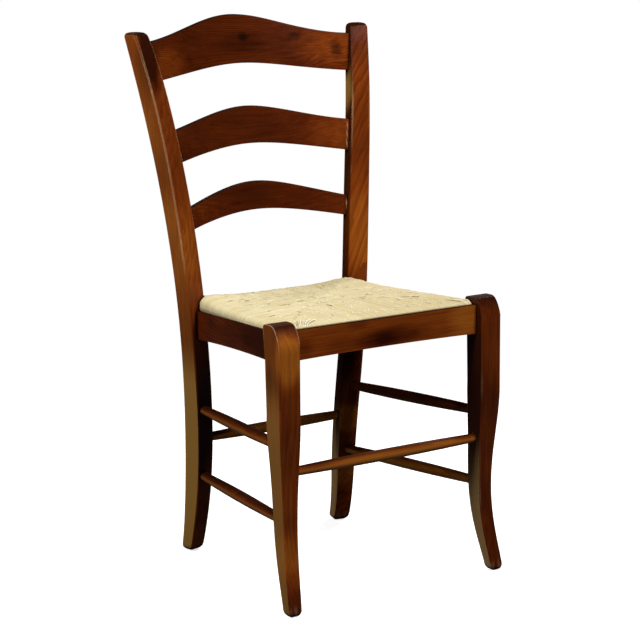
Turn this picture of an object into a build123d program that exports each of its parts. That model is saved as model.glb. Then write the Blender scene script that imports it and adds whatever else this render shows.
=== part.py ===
from build123d import *
import math
import os

# A ladder-back dining chair of stained wood with a drop-in rush seat. It faces -Y, stands on Z = 0 and is
# the same on both sides of X = 0. All sizes are in millimetres. Right-hand pieces (+X) are drawn, and the
# left-hand ones are their mirror images. The last section moves the origin under the middle of the chair.

# Heights of the frame above the floor
POST_TOP = 920.0
SEAT_RAIL_TOP = 465.5
HORN_RISE = 11.5
KNEE_HEIGHT = 330.0

# Rear posts, turned about the vertical so that their inner sides face the ends of the curved slats
POST_TURN = 14.0
POST_EDGE = 1.6
POST_HEAD_EDGE = 3.2
POST_CAP = 8.0
FOOT_EDGE = 2.0
ROUND_STEPS = 3
# Each station of a leg or post: height, centre out from the middle, centre back, width, depth
POST_STATIONS = (
    (FOOT_EDGE, 158.8, 188.0, 31.0, 24.8),
    (130.0, 155.9, 166.8, 34.7, 33.9),
    (290.0, 161.0, 153.4, 36.8, 34.4),
    (SEAT_RAIL_TOP - 65.0, 168.5, 150.0, 38.0, 31.4),
    (SEAT_RAIL_TOP + 95.0, 181.2, 158.5, 38.3, 31.5),
    (POST_TOP - 180.0, 202.0, 180.7, 35.4, 35.4),
    (POST_TOP - 95.0, 213.8, 197.2, 34.2, 35.3),
    (POST_TOP - POST_CAP, 228.0, 219.9, 33.0, 31.0),
)

# Front legs: drawn in to the ankle and swept forward to the foot, and deepened at the back above the knee.
# The front of the horn rolls over in a long arc and then a short one.
LEG_OUT = 203.5
LEG_FORWARD = -189.0
LEG_WIDTH = 40.4
LEG_DEPTH = 41.4
LEG_EDGE = 1.6
SHOULDER_SWELL = 2.0
HORN_SWELL = 7.5
HORN_ROLL = 60.0
HORN_ROLL_ANGLE = 40.0
HORN_TOP_ROLL = 16.0
HORN_EDGE = 9.0
LEG_STATIONS = (
    (FOOT_EDGE, 207.9, -216.6, 24.2, 21.4),
    (70.0, 202.7, -196.9, 26.4, 26.7),
    (140.0, 199.8, -185.6, 27.4, 31.9),
    (200.0, 200.4, -185.4, 31.0, 34.0),
    (260.0, 202.4, -187.9, 37.0, 38.0),
    (KNEE_HEIGHT, LEG_OUT, LEG_FORWARD, LEG_WIDTH, LEG_DEPTH),
)

# Back slats: heights below the post tops at the posts, half-way in and at the middle, and depth of curve
SLAT_THICK = 12.0
SLAT_SETBACK = 12.6
SLAT_REACH = 9.0
SLAT_TENON = 15.0
SLAT_CHEEK = 2.0
SLAT_HAUNCH = 6.0
CREST_LOWER = (-85.0, -74.3, -64.8)
CREST_UPPER = (-18.0, 0.0, 20.5)
CREST_CURVE = 51.0
MIDDLE_LOWER = (-227.0, -213.0, -204.8)
MIDDLE_UPPER = (-170.8, -153.7, -139.5)
MIDDLE_CURVE = 46.0
LOWER_LOWER = (-343.5, -328.2, -320.6)
LOWER_UPPER = (-307.0, -285.0, -271.5)
LOWER_CURVE = 38.0

# Seat rails
RAIL_HEIGHT = 50.2
RAIL_EDGE = 2.0
FRONT_RAIL_THICK = 22.0
FRONT_RAIL_SETBACK = 16.7
FRONT_RAIL_ARCH = 2.5
SIDE_RAIL_THICK = 18.0
SIDE_RAIL_FRONT = 208.0
SIDE_RAIL_REAR = 171.0
SIDE_RAIL_DROP = 4.0
SIDE_RAIL_SLOPE = 3.3
SIDE_RAIL_ARCH = 3.5
REAR_RAIL_THICK = 20.0
REAR_RAIL_HEIGHT = 50.0
REAR_RAIL_LIP = 16.0
RAIL_REACH = 8.0
TENON_THICK = 8.0
TENON_HEIGHT = 24.0
TENON_LENGTH = 18.0
TENON_ABOVE_EDGE = 4.0
TENON_FROM_FACE = 3.0
STUB_SPACING = 0.8

# Turned stretchers, thickest at the middle, with tapered ends driven into round sockets
STRETCHER_MIDDLE = 20.0
STRETCHER_END = 14.5
SOCKET_DEPTH = 16.0
SOCKET_MOUTH = 4.0
FRONT_STRETCHER_HEIGHT = 232.0
REAR_STRETCHER_HEIGHT = 210.0
UPPER_STRETCHER_FRONT = 275.0
UPPER_STRETCHER_REAR = 266.5
LOWER_STRETCHER_FRONT = 151.0
LOWER_STRETCHER_REAR = 144.0

# Braces glued across the corners under the seat
BRACE_NEAR = 24.0
BRACE_FAR = 60.0
BRACE_HEIGHT = 24.0
BRACE_UNDER_LEDGE = 1.5

# Drop-in seat: it lies in a rebate behind a lip, on a ledge that falls slightly to the rear
SEAT_SLOPE = 1.2
SEAT_LEDGE = 19.5
SEAT_LIP = 5.0
PAD_EDGE_HEIGHT = 23.0
PAD_CROWN = 5.0
PAD_CORNER = 5.5
PAD_ROUND = 5.5
PAD_UNDER_ROUND = 3.0
RUSH_THICK = 4.5
STRIP_WIDTH = 30.0
STRIP_THICK = 13.5

# Clearances
GLUE = 0.1
END_GAP = 1.0
SEAT_GAP = 0.8
SEAT_REST = 0.3
LEG_CLEARANCE = 2.0
WRAP_GAP = 0.15
PACKING_GAP = 0.5

RIGHT_TO_LEFT = Plane.YZ


# Shared helpers

def mirrored(piece):
    return mirror(piece, about=RIGHT_TO_LEFT)


def largest(piece):
    return max(piece.solids(), key=lambda solid: solid.volume)


def between(stations, height, column):
    """A station value at a height, on straight lines between the stations."""
    for low, high in zip(stations, stations[1:]):
        if height <= high[0]:
            share = (height - low[0]) / (high[0] - low[0])
            return low[column] + share * (high[column] - low[column])
    return stations[-1][column]


def cross_section(station, turn, edge, grow):
    """A level rectangle with bevelled corners."""
    height, out, back, width, depth = station
    along = (math.cos(math.radians(turn)), -math.sin(math.radians(turn)), 0)
    place = Plane((out, back, height), x_dir=along, z_dir=(0, 0, 1))
    wide = width / 2 + grow
    deep = depth / 2 + grow
    corners = [(wide, edge - deep), (wide, deep - edge), (wide - edge, deep), (edge - wide, deep)]
    return place * Polygon(*corners, *[(-x, -y) for x, y in corners], align=None)


def moved_station(station, rise, inset, lean=(0.0, 0.0)):
    """A station raised along a lean and drawn in on all sides."""
    height, out, back, width, depth = station
    return (height + rise, out + lean[0] * rise, back + lean[1] * rise, width - 2 * inset, depth - 2 * inset)


def quarter_round(radius):
    """Rise and inset at each step of a rounded edge."""
    angles = [math.radians(90 * step / ROUND_STEPS) for step in range(ROUND_STEPS + 1)]
    return [(radius * math.sin(angle), radius * (1 - math.cos(angle))) for angle in angles]


def bevelled_foot(station, turn, edge):
    """The last bit of a leg, drawn in to the floor."""
    floor = moved_station(station, -FOOT_EDGE, FOOT_EDGE)
    return loft([cross_section(level, turn, edge, 0.0) for level in (floor, station)], ruled=True)


def box_between(low, high):
    size = [b - a for a, b in zip(low, high)]
    return Pos(*low) * Box(*size, align=(Align.MIN, Align.MIN, Align.MIN))


# Rear posts

def post_blank(grow=0.0):
    sections = []
    for station in POST_STATIONS:
        edge = POST_HEAD_EDGE if station == POST_STATIONS[-1] else POST_EDGE
        sections.append(cross_section(station, POST_TURN, edge, grow))
    return loft(sections)


def post_cap():
    """The rounded top of the post, leaning as the post does."""
    below, top = POST_STATIONS[-2:]
    height = top[0] - below[0]
    lean = ((top[1] - below[1]) / height, (top[2] - below[2]) / height)
    levels = [moved_station(top, rise, inset, lean) for rise, inset in quarter_round(POST_CAP)]
    return loft([cross_section(level, POST_TURN, POST_HEAD_EDGE, 0.0) for level in levels], ruled=True)


POST_BLANK = post_blank()
POST_TOOL = post_blank(GLUE)
POST_ACROSS = Vector(math.cos(math.radians(POST_TURN)), -math.sin(math.radians(POST_TURN)), 0)
POST_BACKWARD = Vector(math.sin(math.radians(POST_TURN)), math.cos(math.radians(POST_TURN)), 0)


def post_centre(height):
    return section(POST_BLANK, section_by=Plane.XY.offset(height)).face().center()


def post_point(height, across, backward):
    """A point of the post's section, from its centre, in the post's own directions."""
    return post_centre(height) + POST_ACROSS * across + POST_BACKWARD * backward


# Front legs

LEG_TOP = SEAT_RAIL_TOP + HORN_RISE
LEG_SHOULDER = SEAT_RAIL_TOP - RAIL_HEIGHT


def head_station(height, swell):
    """A station above the knee, deeper at the back by the swell."""
    return (height, LEG_OUT, LEG_FORWARD + swell / 2, LEG_WIDTH, LEG_DEPTH + swell)


def leg_blank(grow=0.0):
    sections = [cross_section(station, 0.0, LEG_EDGE, grow) for station in LEG_STATIONS]
    above = (head_station(LEG_SHOULDER, SHOULDER_SWELL), head_station(LEG_TOP, HORN_SWELL))
    head = [cross_section(station, 0.0, LEG_EDGE, grow) for station in above]
    return loft(sections) + loft([sections[-1], *head], ruled=True)


def horn_profile():
    """Side view of the leg: its front rolls over to the top, and its back edge is rounded."""
    front = LEG_FORWARD - LEG_DEPTH / 2
    fall = HORN_EDGE * (HORN_SWELL - SHOULDER_SWELL) / (LEG_TOP - LEG_SHOULDER)
    back = LEG_FORWARD + LEG_DEPTH / 2 + HORN_SWELL - fall
    turn = math.radians(HORN_ROLL_ANGLE)
    start = LEG_TOP - HORN_TOP_ROLL - (HORN_ROLL - HORN_TOP_ROLL) * math.sin(turn)
    change = (front + HORN_ROLL * (1 - math.cos(turn)), start + HORN_ROLL * math.sin(turn))
    over = change[0] + HORN_TOP_ROLL * math.cos(turn)
    margin = LEG_DEPTH
    outline = Polyline(
        (front, start),
        (front, KNEE_HEIGHT),
        (front - margin, KNEE_HEIGHT),
        (front - margin, -margin),
        (back, -margin),
        (back, LEG_TOP - HORN_EDGE),
    )
    roll = RadiusArc((front, start), change, HORN_ROLL)
    top_roll = RadiusArc(change, (over, LEG_TOP), HORN_TOP_ROLL)
    cap = Line((over, LEG_TOP), (back - HORN_EDGE, LEG_TOP))
    rounded = RadiusArc((back - HORN_EDGE, LEG_TOP), (back, LEG_TOP - HORN_EDGE), HORN_EDGE)
    face = make_face(outline + roll + top_roll + cap + rounded)
    return extrude(Plane.YZ * face, LEG_OUT + LEG_WIDTH)


LEG_BLANK = leg_blank()
LEG_TOOL = leg_blank(GLUE)


def leg_centre(height):
    return Vector(between(LEG_STATIONS, height, 1), between(LEG_STATIONS, height, 2), height)


# Places that follow from the legs and posts
LEG_INNER = LEG_OUT - LEG_WIDTH / 2
LEG_REAR = LEG_FORWARD + LEG_DEPTH / 2
LEG_FRONT = LEG_FORWARD - LEG_DEPTH / 2
RAIL_FRONT = LEG_FRONT + FRONT_RAIL_SETBACK
RAIL_MIDDLE = SEAT_RAIL_TOP - RAIL_HEIGHT / 2
POST_AT_SEAT = post_centre(RAIL_MIDDLE)
POST_FRONT = POST_AT_SEAT.Y - between(POST_STATIONS, RAIL_MIDDLE, 4) / 2
REAR_RAIL_BACK = POST_AT_SEAT.Y + REAR_RAIL_THICK / 2 + 1.0
SIDE_SPREAD = (SIDE_RAIL_REAR - SIDE_RAIL_FRONT) / (POST_FRONT - LEG_REAR)
SIDE_STRETCH = math.sqrt(1 + SIDE_SPREAD ** 2)
SEAT_FALL = math.tan(math.radians(SEAT_SLOPE))


def side_line(back, inset):
    """Distance out to a line that lies an inset inside the side rail's outer face."""
    return SIDE_RAIL_FRONT + (back - LEG_REAR) * SIDE_SPREAD - inset * SIDE_STRETCH


def ledge(back):
    """Height of the ledge that the seat lies on."""
    return SEAT_RAIL_TOP - SEAT_LEDGE - (back - RAIL_FRONT) * SEAT_FALL


# Seat outline, seen from above

PAD_INSET = SEAT_LIP + SEAT_GAP
PAD_FRONT = RAIL_FRONT + PAD_INSET
PAD_REAR = REAR_RAIL_BACK - PAD_INSET
SEAT_NORMAL = (0, math.sin(math.radians(SEAT_SLOPE)), math.cos(math.radians(SEAT_SLOPE)))
SEAT_PLANE = Plane((0, 0, ledge(0.0)), x_dir=(1, 0, 0), z_dir=SEAT_NORMAL)


def trapezoid(front, rear, inset):
    """A seat-shaped outline whose sides lie an inset inside the side rails' outer faces."""
    corners = [(side_line(front, inset), front), (side_line(rear, inset), rear)]
    others = [(-out, back) for out, back in reversed(corners)]
    return Polygon(*corners, *others, align=None)


def leg_notches(clearance):
    """Plan of the two front legs and two rear posts at the seat, with room around them."""
    leg = Rectangle(LEG_WIDTH + 2 * clearance, LEG_DEPTH + HORN_SWELL + 2 * clearance)
    leg = Pos(LEG_OUT, LEG_FORWARD + HORN_SWELL / 2) * leg
    height = ledge(POST_FRONT)
    width = between(POST_STATIONS, height, 3) + 2 * clearance
    depth = between(POST_STATIONS, height, 4) + 2 * clearance
    spot = post_centre(height)
    post = Pos(spot.X, spot.Y) * Rot(0, 0, -POST_TURN) * Rectangle(width, depth)
    return leg + post + mirrored(leg) + mirrored(post)


NOTCHES = leg_notches(LEG_CLEARANCE)
PAD_PLAN = trapezoid(PAD_FRONT, PAD_REAR, PAD_INSET) - NOTCHES


def on_seat(face, low, high):
    """A prism on the seat plane, between two heights above the ledge."""
    return extrude(SEAT_PLANE.offset(low) * face, high - low, dir=SEAT_PLANE.z_dir)


# The bed that is cut out of the rails for the seat
SEAT_BED = on_seat(trapezoid(PAD_FRONT - SEAT_GAP, PAD_REAR + SEAT_GAP, SEAT_LIP), 0.0, 3 * PAD_EDGE_HEIGHT)


# Seat rails

def arched_board(start, end, height, arch):
    """Front view of a rail hanging under its top line, with its lower edge arched."""
    sides = Polyline((start, -height), (start, 0), (end, 0), (end, -height))
    lower = ThreePointArc((end, -height), ((start + end) / 2, -height + arch), (start, -height))
    return make_face(sides + lower)


def straight_board(start, end, height):
    """Front view of a plain rail hanging under its top line."""
    return Polygon((start, 0), (start, -height), (end, -height), (end, 0), align=None)


def eased(board, radius):
    """Round the long straight edges of a board."""
    reach = max(board.bounding_box().size)
    long_edges = [edge for edge in board.edges().filter_by(GeomType.LINE) if edge.length > 0.6 * reach]
    return fillet(long_edges, radius)


def front_rail_tenon(grow, extra):
    front = RAIL_FRONT + TENON_FROM_FACE
    under = SEAT_RAIL_TOP - RAIL_HEIGHT + TENON_ABOVE_EDGE
    low = (LEG_INNER - TENON_LENGTH, front - grow, under - grow)
    high = (LEG_INNER + TENON_LENGTH + extra, front + TENON_THICK + grow, under + TENON_HEIGHT + grow)
    return box_between(low, high)


def front_seat_rail():
    half = LEG_INNER + RAIL_REACH
    view = Plane((0, RAIL_FRONT, SEAT_RAIL_TOP), x_dir=(1, 0, 0), z_dir=(0, -1, 0))
    outline = arched_board(-half, half, RAIL_HEIGHT, FRONT_RAIL_ARCH)
    board = eased(extrude(view * outline, FRONT_RAIL_THICK, dir=(0, 1, 0)), RAIL_EDGE)
    board = largest(board - SEAT_BED - LEG_TOOL - mirrored(LEG_TOOL))
    tenon = front_rail_tenon(0.0, 0.0)
    return board + tenon + mirrored(tenon)


SIDE_TOP = SEAT_RAIL_TOP - SIDE_RAIL_DROP
SIDE_TILT = math.tan(math.radians(SIDE_RAIL_SLOPE))
SIDE_ALONG = Vector(SIDE_SPREAD, 1.0, -SIDE_TILT).normalized()
SIDE_OUTWARD = Vector(1.0, -SIDE_SPREAD, 0.0).normalized()
SIDE_VIEW = Plane((SIDE_RAIL_FRONT, LEG_REAR, SIDE_TOP), x_dir=SIDE_ALONG, z_dir=SIDE_OUTWARD)
SIDE_LENGTH = (POST_FRONT - LEG_REAR) / SIDE_ALONG.Y


def side_rail_tenons(grow, extra):
    """Stub tenons in line with the rail, each stopping short of the tenon that crosses it."""
    front = RAIL_FRONT + TENON_FROM_FACE + TENON_THICK + STUB_SPACING - extra
    rear = REAR_RAIL_BACK - REAR_RAIL_THICK / 2 - TENON_THICK / 2 - STUB_SPACING + extra
    up = TENON_ABOVE_EDGE + TENON_HEIGHT / 2 - RAIL_HEIGHT
    bar = Box(2 * SIDE_LENGTH, TENON_HEIGHT + 2 * grow, TENON_THICK + 2 * grow)
    bar = SIDE_VIEW * (Pos(SIDE_LENGTH / 2, up, -SIDE_RAIL_THICK / 2) * bar)
    spans = ((front, LEG_REAR + TENON_LENGTH), (POST_FRONT - TENON_LENGTH, rear))
    return [bar & box_between((0, near, 0), (2 * SIDE_RAIL_FRONT, far, POST_TOP)) for near, far in spans]


def side_seat_rail():
    outline = arched_board(-RAIL_REACH, SIDE_LENGTH + RAIL_REACH, RAIL_HEIGHT, SIDE_RAIL_ARCH)
    board = eased(extrude(SIDE_VIEW * outline, SIDE_RAIL_THICK, dir=SIDE_OUTWARD * -1), RAIL_EDGE)
    board = largest(board - SEAT_BED - LEG_TOOL - POST_TOOL)
    for tenon in side_rail_tenons(0.0, 0.0):
        board = board + tenon
    return board


REAR_RAIL_TOP = ledge(REAR_RAIL_BACK) + REAR_RAIL_LIP


def rear_rail_tenon(grow, extra):
    middle = REAR_RAIL_BACK - REAR_RAIL_THICK / 2
    under = REAR_RAIL_TOP - REAR_RAIL_HEIGHT + TENON_ABOVE_EDGE
    inner = post_point(under, -between(POST_STATIONS, under, 3) / 2, 0.0).X
    low = (inner - TENON_LENGTH, middle - TENON_THICK / 2 - grow, under - grow)
    high = (inner + TENON_LENGTH + extra, middle + TENON_THICK / 2 + grow, under + TENON_HEIGHT + grow)
    return box_between(low, high)


def rear_seat_rail():
    half = POST_AT_SEAT.X
    view = Plane((0, REAR_RAIL_BACK, REAR_RAIL_TOP), x_dir=(1, 0, 0), z_dir=(0, -1, 0))
    outline = straight_board(-half, half, REAR_RAIL_HEIGHT)
    board = eased(extrude(view * outline, REAR_RAIL_THICK, dir=(0, -1, 0)), RAIL_EDGE)
    board = largest(board - SEAT_BED - POST_TOOL - mirrored(POST_TOOL))
    tenon = rear_rail_tenon(0.0, 0.0)
    return board + tenon + mirrored(tenon)


# Back slats

class Slat:
    """A curved board let into both posts, leaning back as they do."""

    def __init__(self, lower, upper, curve):
        self.lower = [POST_TOP + drop for drop in lower]
        self.upper = [POST_TOP + drop for drop in upper]
        height = (self.lower[0] + self.upper[0]) / 2
        width = between(POST_STATIONS, height, 3)
        depth = between(POST_STATIONS, height, 4)
        seat = post_point(height, -width / 2, -depth / 2 + SLAT_SETBACK)
        rise = post_centre(self.upper[0]) - post_centre(self.lower[0])
        self.lean = (0, rise.Y, rise.Z)
        self.half = seat.X
        self.radius = (seat.X ** 2 + curve ** 2) / (2 * curve)
        self.centre = Vector(0, seat.Y + curve - self.radius, height)
        self.back = seat.Y + curve

    def band(self, inside, outside):
        """The curved sheet that the slat is cut from."""
        plan = Circle(self.radius + outside) - Circle(self.radius + inside)
        height = 2 * (self.upper[2] - self.lower[0])
        return extrude(Pos(*self.centre) * plan, height, dir=self.lean, both=True)

    def view(self):
        return Plane((0, self.back, 0), x_dir=(1, 0, 0), z_dir=(0, -1, 0))

    def cut_from(self, outline, inside, outside):
        through = extrude(self.view() * outline, self.radius / 2, both=True)
        return largest(self.band(inside, outside) & through)

    def outline(self):
        end = self.half + SLAT_REACH
        places = (-end, -end / 2, 0, end / 2, end)
        under = Spline(*[(x, self.lower[step]) for x, step in zip(places, (0, 1, 2, 1, 0))])
        over = Spline(*[(x, self.upper[step]) for x, step in zip(places, (0, 1, 2, 1, 0))])
        ends = [Line((x, self.lower[0]), (x, self.upper[0])) for x in (-end, end)]
        return make_face(under + over + ends)

    def tenon(self, grow=0.0, extra=0.0):
        """The thinner tongue at the right-hand end."""
        low = self.lower[0] + SLAT_HAUNCH - grow
        high = self.upper[0] - SLAT_HAUNCH + grow
        start = self.half - SLAT_TENON
        end = self.half + SLAT_TENON + extra
        outline = Polygon((start, low), (end, low), (end, high), (start, high), align=None)
        return self.cut_from(outline, SLAT_CHEEK - grow, SLAT_THICK - SLAT_CHEEK + grow)

    def solid(self):
        board = self.cut_from(self.outline(), 0.0, SLAT_THICK)
        board = largest(board - POST_TOOL - mirrored(POST_TOOL))
        return board + self.tenon() + mirrored(self.tenon())


CREST = Slat(CREST_LOWER, CREST_UPPER, CREST_CURVE)
MIDDLE = Slat(MIDDLE_LOWER, MIDDLE_UPPER, MIDDLE_CURVE)
LOWER = Slat(LOWER_LOWER, LOWER_UPPER, LOWER_CURVE)


# Stretchers

class Stretcher:
    """A turned bar, thickest at the middle, between two sockets."""

    def __init__(self, start, end):
        self.start = Vector(*start)
        self.length = (Vector(*end) - self.start).length
        self.place = Plane(start, z_dir=Vector(*end) - self.start)

    def solid(self):
        half = self.length / 2
        end = STRETCHER_END / 2
        swell = ThreePointArc((end, 0), (STRETCHER_MIDDLE / 2, half), (end, self.length))
        rest = Polyline((end, self.length), (0, self.length), (0, 0), (end, 0))
        return self.place * (Rot(90, 0, 0) * revolve(make_face(swell + rest), Axis.Y))

    def radius_at(self, distance):
        """Radius of the bar at a distance from its end."""
        half = self.length / 2
        sagitta = (STRETCHER_MIDDLE - STRETCHER_END) / 2
        arc = (half ** 2 + sagitta ** 2) / (2 * sagitta)
        return STRETCHER_MIDDLE / 2 - arc + math.sqrt(arc ** 2 - (half - distance) ** 2)

    def sockets(self):
        """Round holes for both ends, as wide as the bar at their mouths."""
        depth = SOCKET_DEPTH + SOCKET_MOUTH
        hole = Cylinder(self.radius_at(depth) + GLUE, 2 * depth + END_GAP)
        middles = (depth - END_GAP / 2, self.length - depth + END_GAP / 2)
        return [self.place * (Pos(0, 0, along) * hole) for along in middles]


def side_stretcher(front_height, rear_height):
    """A side stretcher from the front leg's back to the rear post's front."""
    leg = leg_centre(front_height)
    post = post_centre(rear_height)
    leg_face = leg + Vector(0, between(LEG_STATIONS, front_height, 4) / 2, 0)
    post_face = post - Vector(0, between(POST_STATIONS, rear_height, 4) / 2, 0)
    along = (post_face - leg_face).normalized()
    return Stretcher(leg_face - along * SOCKET_DEPTH, post_face + along * SOCKET_DEPTH)


def cross_stretcher(centre, width):
    """A stretcher across the chair, through the same point of both legs or posts."""
    reach = centre.X - width / 2 + SOCKET_DEPTH
    return Stretcher((-reach, centre.Y, centre.Z), (reach, centre.Y, centre.Z))


FRONT_STRETCHER = cross_stretcher(
    leg_centre(FRONT_STRETCHER_HEIGHT), between(LEG_STATIONS, FRONT_STRETCHER_HEIGHT, 3))
REAR_STRETCHER = cross_stretcher(
    post_centre(REAR_STRETCHER_HEIGHT), between(POST_STATIONS, REAR_STRETCHER_HEIGHT, 3))
UPPER_STRETCHER = side_stretcher(UPPER_STRETCHER_FRONT, UPPER_STRETCHER_REAR)
LOWER_STRETCHER = side_stretcher(LOWER_STRETCHER_FRONT, LOWER_STRETCHER_REAR)


# Legs and posts with their mortises and sockets

def rear_post():
    post = POST_BLANK + post_cap() + bevelled_foot(POST_STATIONS[0], POST_TURN, POST_EDGE)
    mortises = [slat.tenon(GLUE, END_GAP) for slat in (CREST, MIDDLE, LOWER)]
    mortises.append(rear_rail_tenon(GLUE, END_GAP))
    mortises.append(side_rail_tenons(GLUE, END_GAP)[1])
    for bar in (REAR_STRETCHER, UPPER_STRETCHER, LOWER_STRETCHER):
        mortises.append(bar.sockets()[1])
    return post - mortises


def front_leg():
    leg = (LEG_BLANK & horn_profile()) + bevelled_foot(LEG_STATIONS[0], 0.0, LEG_EDGE)
    mortises = [front_rail_tenon(GLUE, END_GAP), side_rail_tenons(GLUE, END_GAP)[0]]
    mortises += [FRONT_STRETCHER.sockets()[1], UPPER_STRETCHER.sockets()[0], LOWER_STRETCHER.sockets()[0]]
    return leg - mortises


# Corner braces

class CornerBrace:
    """A short board across the corner between a cross rail and the right-hand side rail."""

    def __init__(self, cross_face, inward):
        self.inward = inward
        self.top = ledge(cross_face) - BRACE_UNDER_LEDGE
        self.face = cross_face + inward * GLUE
        self.corner = side_line(self.face, SIDE_RAIL_THICK + GLUE)

    def ends(self, distance):
        """Points on the cross rail and on the side rail at a distance from the corner."""
        back = self.face + self.inward * distance
        return [(self.corner - distance, self.face), (side_line(back, SIDE_RAIL_THICK + GLUE), back)]

    def solid(self):
        near = self.ends(BRACE_NEAR)
        plan = Polygon(*near, *reversed(self.ends(BRACE_FAR)), align=None)
        return extrude(Pos(0, 0, self.top - BRACE_HEIGHT) * plan, BRACE_HEIGHT, dir=(0, 0, 1))


FRONT_BRACE = CornerBrace(RAIL_FRONT + FRONT_RAIL_THICK, 1)
REAR_BRACE = CornerBrace(REAR_RAIL_BACK - REAR_RAIL_THICK, -1)


# Drop-in seat

FRAME_LOW = SEAT_REST + RUSH_THICK
FRAME_HIGH = FRAME_LOW + STRIP_THICK
FRAME_INSET = PAD_INSET + RUSH_THICK


def strip_plans(gap):
    """Plans of the front, rear, right and left strips of the seat frame."""
    inset = FRAME_INSET + gap
    width = STRIP_WIDTH - 2 * gap
    plan = PAD_PLAN if gap == 0 else offset(PAD_PLAN, -gap, kind=Kind.INTERSECTION)
    front = PAD_FRONT + RUSH_THICK + gap
    rear = PAD_REAR - RUSH_THICK - gap
    band = trapezoid(2 * PAD_FRONT, 2 * PAD_REAR, inset) - trapezoid(2 * PAD_FRONT, 2 * PAD_REAR, inset + width)
    right = plan & band & Pos(SIDE_RAIL_FRONT, 0) * Rectangle(2 * SIDE_RAIL_FRONT, 4 * PAD_REAR)
    return [
        plan & trapezoid(front, front + width, inset),
        plan & trapezoid(rear - width, rear, inset),
        right,
        mirrored(right),
    ]


def packing_plans():
    """Four wedges inside the seat frame, split along the mitres of the weave."""
    inset = FRAME_INSET + STRIP_WIDTH
    front = PAD_FRONT + RUSH_THICK + STRIP_WIDTH
    rear = PAD_REAR - RUSH_THICK - STRIP_WIDTH
    middle = (front + rear) / 2
    front_out = side_line(front, inset)
    rear_out = side_line(rear, inset)
    bridge = (front_out + rear_out) / 2 - (rear - front) / 2
    right = [(front_out, front), (rear_out, rear), (bridge, middle)]
    fore = [(-front_out, front), (front_out, front), (bridge, middle), (-bridge, middle)]
    aft = [(-rear_out, rear), (rear_out, rear), (bridge, middle), (-bridge, middle)]
    left = [(-out, back) for out, back in right]
    return [Polygon(*points, align=None) for points in (fore, aft, right, left)]


def crown(height, inset):
    """Four shallow arched panels that meet on the mitres, above a height over the ledge."""
    front = PAD_FRONT + inset
    rear = PAD_REAR - inset
    arches = []
    for back in (front, rear):
        half = side_line(back, PAD_INSET + inset)
        arch = make_face(
            ThreePointArc((-half, 0), (0, PAD_CROWN), (half, 0)) + Line((half, 0), (-half, 0)))
        arches.append(Plane((0, back, 0), x_dir=(1, 0, 0), z_dir=(0, -1, 0)) * arch)
    across = loft(arches)
    middle = (front + rear) / 2
    side_arch = make_face(
        ThreePointArc((front, 0), (middle, PAD_CROWN), (rear, 0)) + Line((rear, 0), (front, 0)))
    along = extrude(Plane.YZ * side_arch, 2 * SIDE_RAIL_FRONT, both=True)
    notches = extrude(NOTCHES, 2 * PAD_CROWN, both=True)
    return SEAT_PLANE.offset(height).location * ((across & along) - notches)


def pad_solid():
    """The outside of the woven seat: notched round the legs, with soft edges and a crowned top."""
    plan = chamfer(PAD_PLAN.vertices(), PAD_CORNER)
    under = [(SEAT_REST + PAD_UNDER_ROUND - rise, inset) for rise, inset in quarter_round(PAD_UNDER_ROUND)]
    over = [(PAD_EDGE_HEIGHT - PAD_ROUND + rise, inset) for rise, inset in quarter_round(PAD_ROUND)]
    sections = []
    for height, inset in under[::-1] + over:
        outline = offset(plan, -inset, kind=Kind.INTERSECTION) if inset else plan
        sections.append(SEAT_PLANE.offset(height) * outline)
    return loft(sections, ruled=True) + crown(PAD_EDGE_HEIGHT, PAD_ROUND)


def pocket(grow):
    """The crowned hollow inside the weave and the seat frame."""
    inset = RUSH_THICK + STRIP_WIDTH
    plan = trapezoid(PAD_FRONT + inset, PAD_REAR - inset, PAD_INSET + inset)
    return on_seat(plan, FRAME_LOW - grow, FRAME_HIGH + grow) + crown(FRAME_HIGH + grow, inset)


def packing():
    """Four wedges of packing that fill the pocket."""
    room = pocket(0.0)
    wedges = [offset(plan, -PACKING_GAP, kind=Kind.INTERSECTION) for plan in packing_plans()]
    return [room & on_seat(plan, 0.0, 2 * PAD_EDGE_HEIGHT) for plan in wedges]


def rush():
    frame = [on_seat(plan, FRAME_LOW - WRAP_GAP, FRAME_HIGH + WRAP_GAP) for plan in strip_plans(0.0)]
    return pad_solid() - frame - pocket(WRAP_GAP)


def seat_strips():
    """The four strips of the seat frame, halved together at the corners."""
    front, rear, right, left = strip_plans(WRAP_GAP)
    half = (FRAME_LOW + FRAME_HIGH) / 2
    strips = []
    for cross in (front, rear):
        strip = on_seat(cross, FRAME_LOW, FRAME_HIGH)
        for side in (right, left):
            lap = offset(cross & side, WRAP_GAP, kind=Kind.INTERSECTION)
            strip = strip - on_seat(lap, FRAME_LOW - 1, half + GLUE / 2)
        strips.append(strip)
    for side in (right, left):
        strip = on_seat(side, FRAME_LOW, FRAME_HIGH)
        for cross in (front, rear):
            lap = offset(cross & side, WRAP_GAP, kind=Kind.INTERSECTION)
            strip = strip - on_seat(lap, half - GLUE / 2, FRAME_HIGH + 1)
        strips.append(strip)
    return strips


# All pieces by name

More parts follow.
